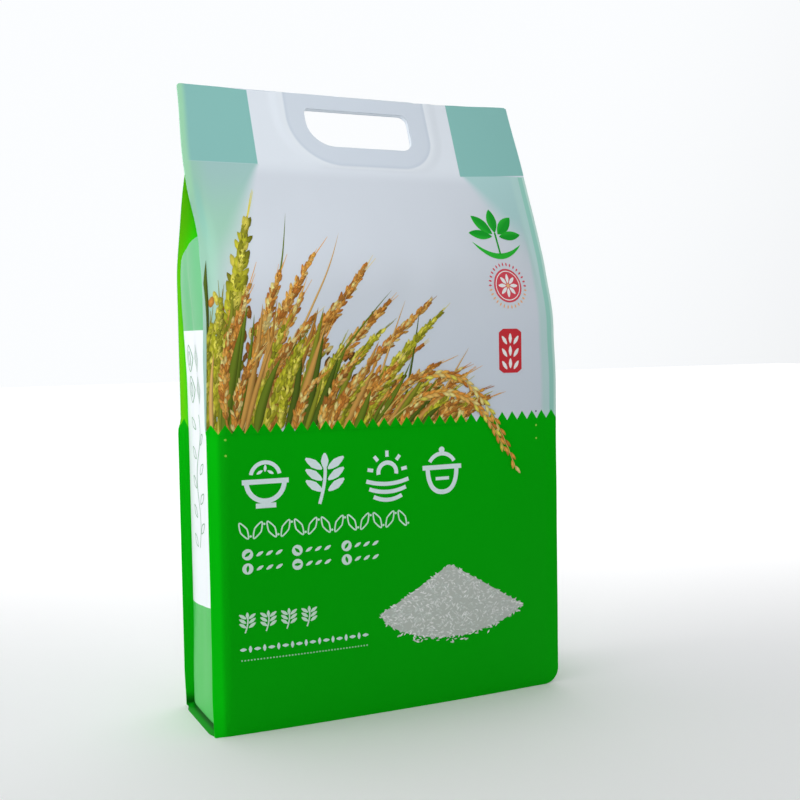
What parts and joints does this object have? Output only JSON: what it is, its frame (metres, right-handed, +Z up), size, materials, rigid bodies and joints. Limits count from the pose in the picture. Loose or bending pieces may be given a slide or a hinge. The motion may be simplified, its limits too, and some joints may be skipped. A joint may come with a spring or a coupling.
{
  "type": "rice sack",
  "caption": "Filled flat-bottom sack of rice with gusseted sides, fin seals along its edges, and a flat top seal that leans back and holds a plastic carry handle.",
  "frame": {"origin": "middle of the base, on the surface the sack stands on", "axes": "+Z up the sack, -Y out of its printed front panel, +X to the right of someone looking at the front"},
  "size_m": [0.25, 0.08, 0.4111],
  "materials": {
    "printed_film": "satin printed laminate, frosted above a green lower half",
    "handle_plastic": "smooth translucent white plastic"
  },
  "bodies": {
    "root": {"sack": "printed_film", "handle": "handle_plastic"}
  },
  "joints": []
}
